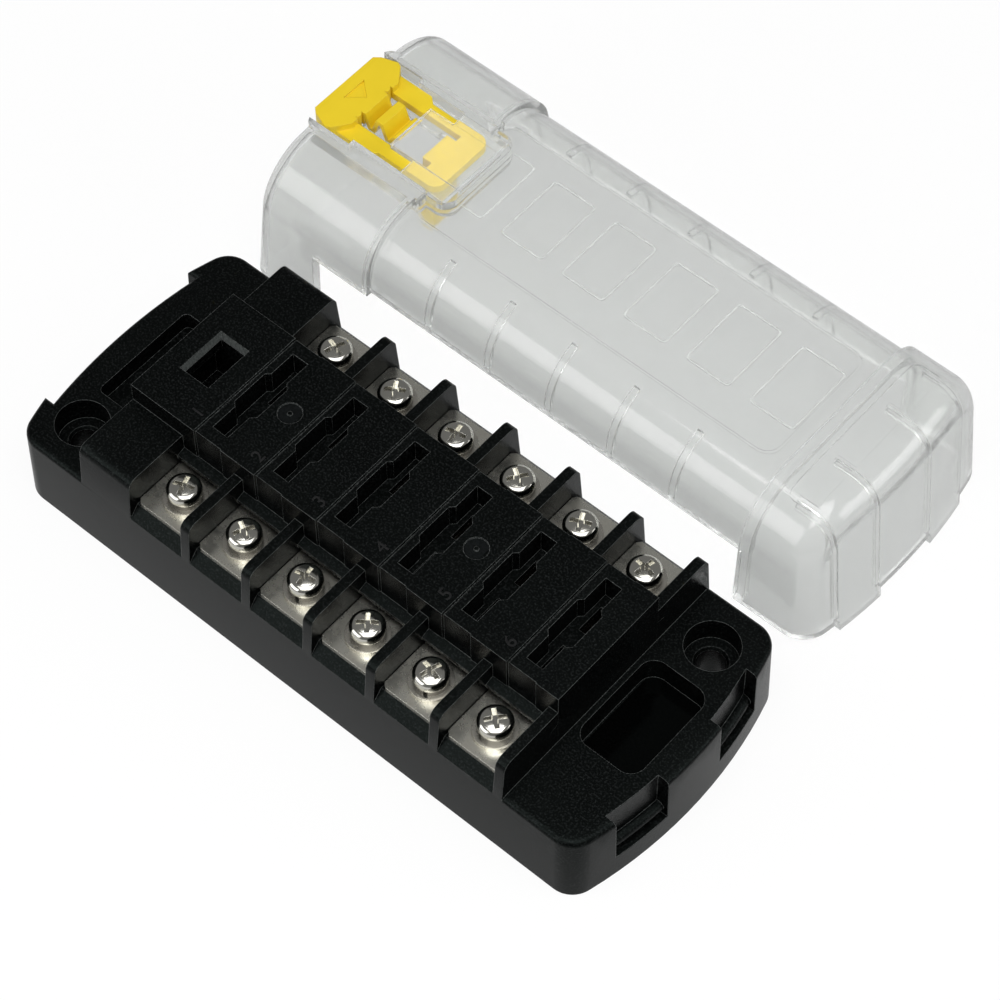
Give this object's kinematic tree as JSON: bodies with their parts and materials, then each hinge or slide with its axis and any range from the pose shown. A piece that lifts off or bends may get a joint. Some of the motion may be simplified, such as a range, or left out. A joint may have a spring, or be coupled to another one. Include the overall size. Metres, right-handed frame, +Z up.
{
  "type": "blade fuse block",
  "caption": "Blade fuse block with paired screw terminals on a black base, its clear cover with a yellow sliding latch lying beside it.",
  "frame": {"origin": "midway between the two mounting holes, at the level of the base's underside", "axes": "+X along the row of circuits away from the latch end, +Y from the front terminals to the loose cover, +Z up through the mounting holes"},
  "size_m": [0.1377, 0.1159, 0.0318],
  "materials": {
    "black_plastic": "fine grained",
    "nickel_plate": "plated",
    "bright_screw": "bright plated",
    "clear_plastic": "clear",
    "yellow_plastic": "satin"
  },
  "bodies": {
    "base": {"base_housing": "black_plastic", "front_terminal_1": "nickel_plate", "front_terminal_2": "nickel_plate", "front_terminal_3": "nickel_plate", "front_terminal_4": "nickel_plate", "front_terminal_5": "nickel_plate", "front_terminal_6": "nickel_plate", "back_terminal_1": "nickel_plate", "back_terminal_2": "nickel_plate", "back_terminal_3": "nickel_plate", "back_terminal_4": "nickel_plate", "back_terminal_5": "nickel_plate", "back_terminal_6": "nickel_plate", "terminal_nuts": "bright_screw"},
    "cover": {"cover": "clear_plastic"},
    "latch": {"latch": "yellow_plastic"},
    "front_washers_1": {"front_lock_washer_1": "bright_screw", "front_flat_washer_1": "bright_screw"},
    "front_screw_1": {"front_screw_1": "bright_screw"},
    "front_washers_2": {"front_lock_washer_2": "bright_screw", "front_flat_washer_2": "bright_screw"},
    "front_screw_2": {"front_screw_2": "bright_screw"},
    "front_washers_3": {"front_lock_washer_3": "bright_screw", "front_flat_washer_3": "bright_screw"},
    "front_screw_3": {"front_screw_3": "bright_screw"},
    "front_washers_4": {"front_lock_washer_4": "bright_screw", "front_flat_washer_4": "bright_screw"},
    "front_screw_4": {"front_screw_4": "bright_screw"},
    "front_washers_5": {"front_lock_washer_5": "bright_screw", "front_flat_washer_5": "bright_screw"},
    "front_screw_5": {"front_screw_5": "bright_screw"},
    "front_washers_6": {"front_lock_washer_6": "bright_screw", "front_flat_washer_6": "bright_screw"},
    "front_screw_6": {"front_screw_6": "bright_screw"},
    "back_washers_1": {"back_lock_washer_1": "bright_screw", "back_flat_washer_1": "bright_screw"},
    "back_screw_1": {"back_screw_1": "bright_screw"},
    "back_washers_2": {"back_lock_washer_2": "bright_screw", "back_flat_washer_2": "bright_screw"},
    "back_screw_2": {"back_screw_2": "bright_screw"},
    "back_washers_3": {"back_lock_washer_3": "bright_screw", "back_flat_washer_3": "bright_screw"},
    "back_screw_3": {"back_screw_3": "bright_screw"},
    "back_washers_4": {"back_lock_washer_4": "bright_screw", "back_flat_washer_4": "bright_screw"},
    "back_screw_4": {"back_screw_4": "bright_screw"},
    "back_washers_5": {"back_lock_washer_5": "bright_screw", "back_flat_washer_5": "bright_screw"},
    "back_screw_5": {"back_screw_5": "bright_screw"},
    "back_washers_6": {"back_lock_washer_6": "bright_screw", "back_flat_washer_6": "bright_screw"},
    "back_screw_6": {"back_screw_6": "bright_screw"}
  },
  "joints": [
    {"name": "cover_lift", "type": "slide", "parent": "base", "child": "cover", "axis": [0, 0, 1], "range_m": [0, 0.06]},
    {"name": "latch_slide", "type": "slide", "parent": "cover", "child": "latch", "axis": [1, 0, 0], "range_m": [0, 0.0025], "stiffness_N_per_m": 800},
    {"name": "front_screw_1_lift", "type": "slide", "parent": "base", "child": "front_washers_1", "axis": [0, 0, 1], "range_m": [0, 0.00476]},
    {"name": "front_screw_1_turn", "type": "hinge", "parent": "front_washers_1", "child": "front_screw_1", "pos_m": [-0.03041, -0.0195, 0.022], "axis": [0, 0, 1], "range_deg": [0, 2160]},
    {"name": "front_screw_2_lift", "type": "slide", "parent": "base", "child": "front_washers_2", "axis": [0, 0, 1], "range_m": [0, 0.00476]},
    {"name": "front_screw_2_turn", "type": "hinge", "parent": "front_washers_2", "child": "front_screw_2", "pos_m": [-0.01611, -0.0195, 0.022], "axis": [0, 0, 1], "range_deg": [0, 2160]},
    {"name": "front_screw_3_lift", "type": "slide", "parent": "base", "child": "front_washers_3", "axis": [0, 0, 1], "range_m": [0, 0.00476]},
    {"name": "front_screw_3_turn", "type": "hinge", "parent": "front_washers_3", "child": "front_screw_3", "pos_m": [-0.00181, -0.0195, 0.022], "axis": [0, 0, 1], "range_deg": [0, 2160]},
    {"name": "front_screw_4_lift", "type": "slide", "parent": "base", "child": "front_washers_4", "axis": [0, 0, 1], "range_m": [0, 0.00476]},
    {"name": "front_screw_4_turn", "type": "hinge", "parent": "front_washers_4", "child": "front_screw_4", "pos_m": [0.01249, -0.0195, 0.022], "axis": [0, 0, 1], "range_deg": [0, 2160]},
    {"name": "front_screw_5_lift", "type": "slide", "parent": "base", "child": "front_washers_5", "axis": [0, 0, 1], "range_m": [0, 0.00476]},
    {"name": "front_screw_5_turn", "type": "hinge", "parent": "front_washers_5", "child": "front_screw_5", "pos_m": [0.02679, -0.0195, 0.022], "axis": [0, 0, 1], "range_deg": [0, 2160]},
    {"name": "front_screw_6_lift", "type": "slide", "parent": "base", "child": "front_washers_6", "axis": [0, 0, 1], "range_m": [0, 0.00476]},
    {"name": "front_screw_6_turn", "type": "hinge", "parent": "front_washers_6", "child": "front_screw_6", "pos_m": [0.04109, -0.0195, 0.022], "axis": [0, 0, 1], "range_deg": [0, 2160]},
    {"name": "back_screw_1_lift", "type": "slide", "parent": "base", "child": "back_washers_1", "axis": [0, 0, 1], "range_m": [0, 0.00476]},
    {"name": "back_screw_1_turn", "type": "hinge", "parent": "back_washers_1", "child": "back_screw_1", "pos_m": [-0.03041, 0.0195, 0.022], "axis": [0, 0, 1], "range_deg": [0, 2160]},
    {"name": "back_screw_2_lift", "type": "slide", "parent": "base", "child": "back_washers_2", "axis": [0, 0, 1], "range_m": [0, 0.00476]},
    {"name": "back_screw_2_turn", "type": "hinge", "parent": "back_washers_2", "child": "back_screw_2", "pos_m": [-0.01611, 0.0195, 0.022], "axis": [0, 0, 1], "range_deg": [0, 2160]},
    {"name": "back_screw_3_lift", "type": "slide", "parent": "base", "child": "back_washers_3", "axis": [0, 0, 1], "range_m": [0, 0.00476]},
    {"name": "back_screw_3_turn", "type": "hinge", "parent": "back_washers_3", "child": "back_screw_3", "pos_m": [-0.00181, 0.0195, 0.022], "axis": [0, 0, 1], "range_deg": [0, 2160]},
    {"name": "back_screw_4_lift", "type": "slide", "parent": "base", "child": "back_washers_4", "axis": [0, 0, 1], "range_m": [0, 0.00476]},
    {"name": "back_screw_4_turn", "type": "hinge", "parent": "back_washers_4", "child": "back_screw_4", "pos_m": [0.01249, 0.0195, 0.022], "axis": [0, 0, 1], "range_deg": [0, 2160]},
    {"name": "back_screw_5_lift", "type": "slide", "parent": "base", "child": "back_washers_5", "axis": [0, 0, 1], "range_m": [0, 0.00476]},
    {"name": "back_screw_5_turn", "type": "hinge", "parent": "back_washers_5", "child": "back_screw_5", "pos_m": [0.02679, 0.0195, 0.022], "axis": [0, 0, 1], "range_deg": [0, 2160]},
    {"name": "back_screw_6_lift", "type": "slide", "parent": "base", "child": "back_washers_6", "axis": [0, 0, 1], "range_m": [0, 0.00476]},
    {"name": "back_screw_6_turn", "type": "hinge", "parent": "back_washers_6", "child": "back_screw_6", "pos_m": [0.04109, 0.0195, 0.022], "axis": [0, 0, 1], "range_deg": [0, 2160]}
  ],
  "couplings": [
    {"joint": "front_screw_1_turn", "follows": "front_screw_1_lift", "rad_per_m": 7913.3},
    {"joint": "front_screw_2_turn", "follows": "front_screw_2_lift", "rad_per_m": 7913.3},
    {"joint": "front_screw_3_turn", "follows": "front_screw_3_lift", "rad_per_m": 7913.3},
    {"joint": "front_screw_4_turn", "follows": "front_screw_4_lift", "rad_per_m": 7913.3},
    {"joint": "front_screw_5_turn", "follows": "front_screw_5_lift", "rad_per_m": 7913.3},
    {"joint": "front_screw_6_turn", "follows": "front_screw_6_lift", "rad_per_m": 7913.3},
    {"joint": "back_screw_1_turn", "follows": "back_screw_1_lift", "rad_per_m": 7913.3},
    {"joint": "back_screw_2_turn", "follows": "back_screw_2_lift", "rad_per_m": 7913.3},
    {"joint": "back_screw_3_turn", "follows": "back_screw_3_lift", "rad_per_m": 7913.3},
    {"joint": "back_screw_4_turn", "follows": "back_screw_4_lift", "rad_per_m": 7913.3},
    {"joint": "back_screw_5_turn", "follows": "back_screw_5_lift", "rad_per_m": 7913.3},
    {"joint": "back_screw_6_turn", "follows": "back_screw_6_lift", "rad_per_m": 7913.3}
  ]
}
